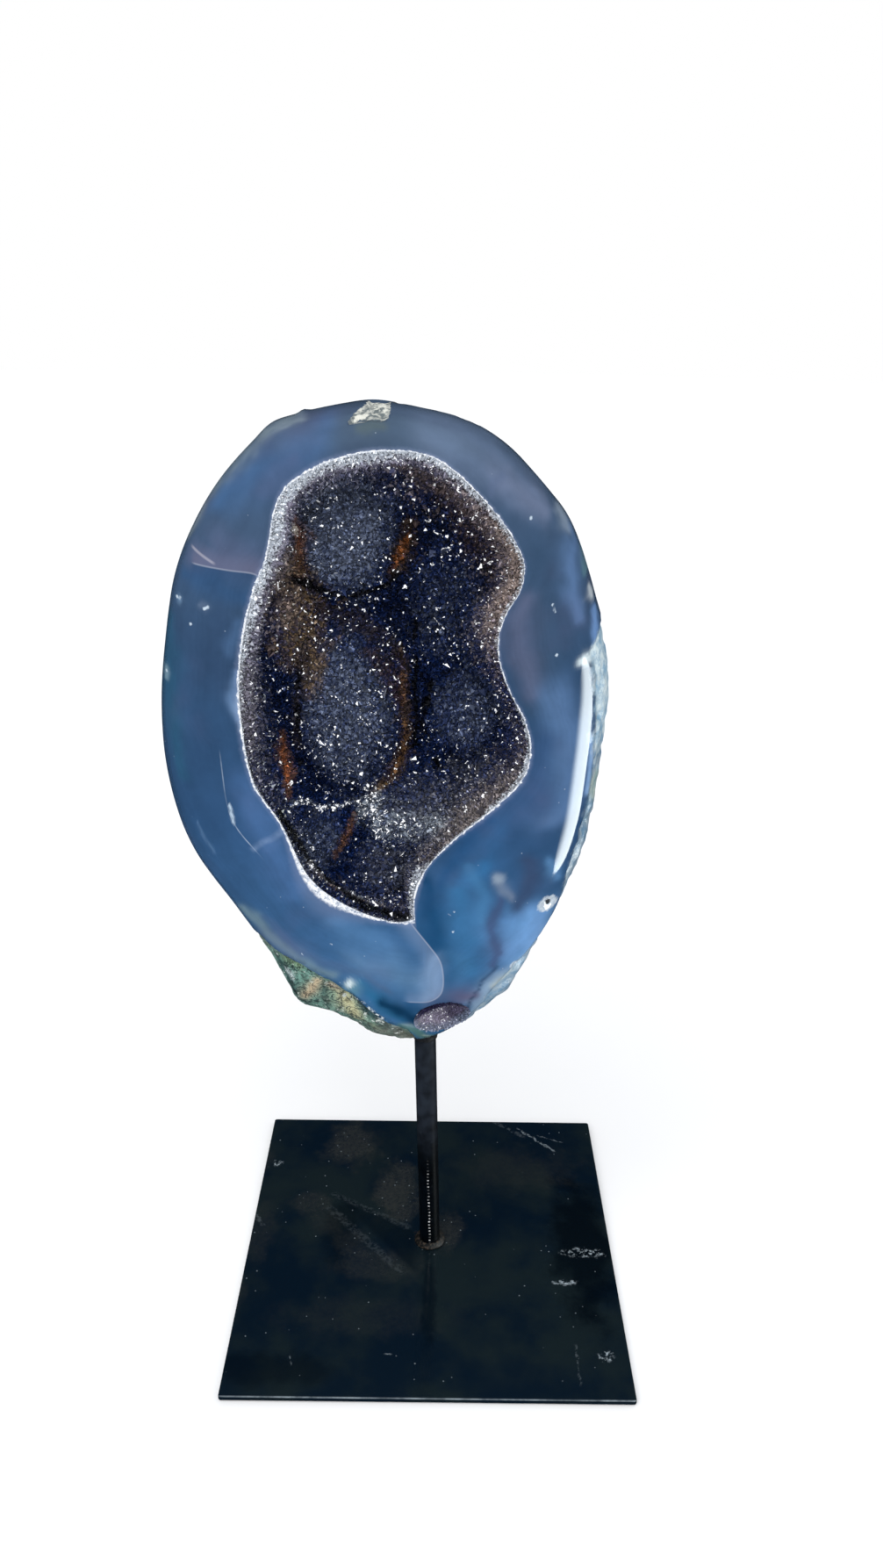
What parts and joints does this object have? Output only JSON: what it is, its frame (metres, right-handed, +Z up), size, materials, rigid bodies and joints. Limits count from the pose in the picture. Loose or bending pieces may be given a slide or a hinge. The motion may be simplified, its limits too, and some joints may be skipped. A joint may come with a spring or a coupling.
{
  "type": "chalcedony geode on stand",
  "caption": "Polished blue chalcedony geode with a druse-lined hollow, glued on a slim steel post welded to a square steel base plate.",
  "frame": {"origin": "middle of the base plate's underside, on the surface it stands on", "axes": "+Z up, -Y towards the viewer and out of the polished face, +X to the viewer's right"},
  "size_m": [0.1408, 0.127, 0.2838],
  "materials": {
    "chalcedony": "polished front, rough green and brown rind behind",
    "druse": "small glittering crystals",
    "vug_druse": "small lilac crystals",
    "adhesive": "matt, dusty",
    "post_paint": "gloss black",
    "weld": "thinly painted, rusty brown",
    "plate_paint": "semi-gloss blue-black with scuffs"
  },
  "bodies": {
    "root": {"geode": "chalcedony", "druse_crust": "druse", "vug_crust": "vug_druse", "putty_collar": "adhesive", "post": "post_paint", "foot_weld": "weld", "base_plate": "plate_paint"}
  },
  "joints": []
}
